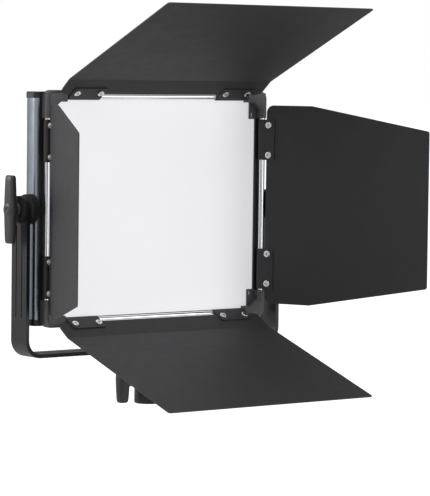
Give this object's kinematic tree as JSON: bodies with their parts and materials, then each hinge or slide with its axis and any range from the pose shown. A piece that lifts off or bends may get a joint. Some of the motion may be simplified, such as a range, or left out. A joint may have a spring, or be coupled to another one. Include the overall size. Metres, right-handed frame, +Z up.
{
  "type": "led panel light",
  "caption": "Square LED panel light on a U-shaped tilt yoke with a stand socket, and barn-door leaves hinged on rods round its face.",
  "frame": {"origin": "mouth of the stand socket, on its axis", "axes": "+Z up out of the stand, -Y the way the light shines, +X to the right seen from the front"},
  "size_m": [0.4334, 0.2543, 0.4081],
  "materials": {
    "rail_metal": "blue-grey anodised",
    "cap_plastic": "fine texture",
    "diffuser_sheet": "opal, satin",
    "white_plastic": "satin",
    "board": "solder mask",
    "led_chips": "phosphor",
    "plain_aluminium": "machined",
    "cover_plastic": "fine texture",
    "window": "smoked",
    "module": "plain",
    "control_plastic": "satin",
    "screws": "zinc plated",
    "corner_plastic": "leather grain",
    "rod_chrome": "polished",
    "leaf_paint": "matt powder coat",
    "bracket_paint": "matt powder coat",
    "yoke_paint": "satin black",
    "washer_rubber": "plain"
  },
  "bodies": {
    "yoke": {"yoke": "yoke_paint", "stand_socket": "yoke_paint", "socket_screw": "screws", "friction_washers": "washer_rubber", "outer_washers": "washer_rubber", "tilt_bolt": "screws"},
    "head": {"side_rail_left": "rail_metal", "side_rail_right": "rail_metal", "top_cap": "cap_plastic", "bottom_cap": "cap_plastic", "front_bezel": "cap_plastic", "diffuser": "diffuser_sheet", "reflector_frame": "white_plastic", "led_board": "board", "leds": "led_chips", "heat_sink_plate": "plain_aluminium", "pivot_blocks": "plain_aluminium", "hub_discs": "plain_aluminium", "rear_cover": "cover_plastic", "display_window": "window", "display_module": "module", "control_board": "board", "driver_board": "board", "dc_jack": "cover_plastic", "battery_plate_left": "cover_plastic", "battery_plate_right": "cover_plastic", "housing_screws": "screws", "frame_corner_top_left": "corner_plastic", "frame_corner_top_right": "corner_plastic", "frame_corner_bottom_left": "corner_plastic", "frame_corner_bottom_right": "corner_plastic", "hinge_rod_left": "rod_chrome", "hinge_rod_right": "rod_chrome", "hinge_rod_top": "rod_chrome", "hinge_rod_bottom": "rod_chrome"},
    "leaf_left": {"leaf_left": "leaf_paint", "hinge_brackets_left": "bracket_paint", "leaf_screws_left": "screws", "leaf_nuts_left": "screws"},
    "leaf_right": {"leaf_right": "leaf_paint", "hinge_brackets_right": "bracket_paint", "leaf_screws_right": "screws", "leaf_nuts_right": "screws"},
    "leaf_top": {"leaf_top": "leaf_paint", "hinge_brackets_top": "bracket_paint", "leaf_screws_top": "screws", "leaf_nuts_top": "screws"},
    "leaf_bottom": {"leaf_bottom": "leaf_paint", "hinge_brackets_bottom": "bracket_paint", "leaf_screws_bottom": "screws", "leaf_nuts_bottom": "screws"},
    "tilt_knob": {"tilt_knob": "control_plastic"},
    "clamp_knob": {"clamp_knob": "control_plastic"},
    "brightness_dial": {"brightness_dial": "control_plastic"},
    "colour_dial": {"colour_dial": "control_plastic"},
    "mode_button": {"mode_button": "control_plastic"},
    "memory_button": {"memory_button": "control_plastic"},
    "power_rocker": {"power_rocker": "control_plastic"},
    "battery_latch_left": {"battery_latch_left": "control_plastic"},
    "battery_latch_right": {"battery_latch_right": "control_plastic"}
  },
  "joints": [
    {"name": "head_tilt", "type": "hinge", "parent": "yoke", "child": "head", "pos_m": [0, 0, 0.204], "axis": [-1, 0, 0], "range_deg": [-14, 90]},
    {"name": "leaf_left_fold", "type": "hinge", "parent": "head", "child": "leaf_left", "pos_m": [-0.1368, -0.0115, 0.204], "axis": [0, 0, -1], "range_deg": [-115.9, 23.8]},
    {"name": "leaf_right_fold", "type": "hinge", "parent": "head", "child": "leaf_right", "pos_m": [0.1368, -0.0115, 0.204], "axis": [0, 0, 1], "range_deg": [-111.4, 27]},
    {"name": "leaf_top_fold", "type": "hinge", "parent": "head", "child": "leaf_top", "pos_m": [0, -0.0115, 0.317], "axis": [1, 0, 0], "range_deg": [-40.75, 89.25]},
    {"name": "leaf_bottom_fold", "type": "hinge", "parent": "head", "child": "leaf_bottom", "pos_m": [0, -0.0115, 0.091], "axis": [1, 0, 0], "range_deg": [-83.6, 36.4]},
    {"name": "tilt_knob_turn", "type": "hinge", "parent": "yoke", "child": "tilt_knob", "pos_m": [-0.17, 0, 0.204], "axis": [-1, 0, 0], "continuous": true},
    {"name": "clamp_knob_turn", "type": "hinge", "parent": "yoke", "child": "clamp_knob", "pos_m": [-0.03, 0, 0.026], "axis": [-1, 0, 0], "continuous": true},
    {"name": "brightness_dial_turn", "type": "hinge", "parent": "head", "child": "brightness_dial", "pos_m": [-0.05, 0.036, 0.238], "axis": [0, 1, 0], "continuous": true},
    {"name": "colour_dial_turn", "type": "hinge", "parent": "head", "child": "colour_dial", "pos_m": [0.05, 0.036, 0.238], "axis": [0, 1, 0], "continuous": true},
    {"name": "mode_button_press", "type": "slide", "parent": "head", "child": "mode_button", "axis": [0, -1, 0], "range_m": [0, 0.0008]},
    {"name": "memory_button_press", "type": "slide", "parent": "head", "child": "memory_button", "axis": [0, -1, 0], "range_m": [0, 0.0008]},
    {"name": "power_rocker_tip", "type": "hinge", "parent": "head", "child": "power_rocker", "pos_m": [-0.05, 0.0348, 0.206], "axis": [1, 0, 0], "range_deg": [-6, 6]},
    {"name": "battery_latch_left_slide", "type": "slide", "parent": "head", "child": "battery_latch_left", "axis": [0, 0, -1], "range_m": [0, 0.0025]},
    {"name": "battery_latch_right_slide", "type": "slide", "parent": "head", "child": "battery_latch_right", "axis": [0, 0, -1], "range_m": [0, 0.0025]}
  ]
}
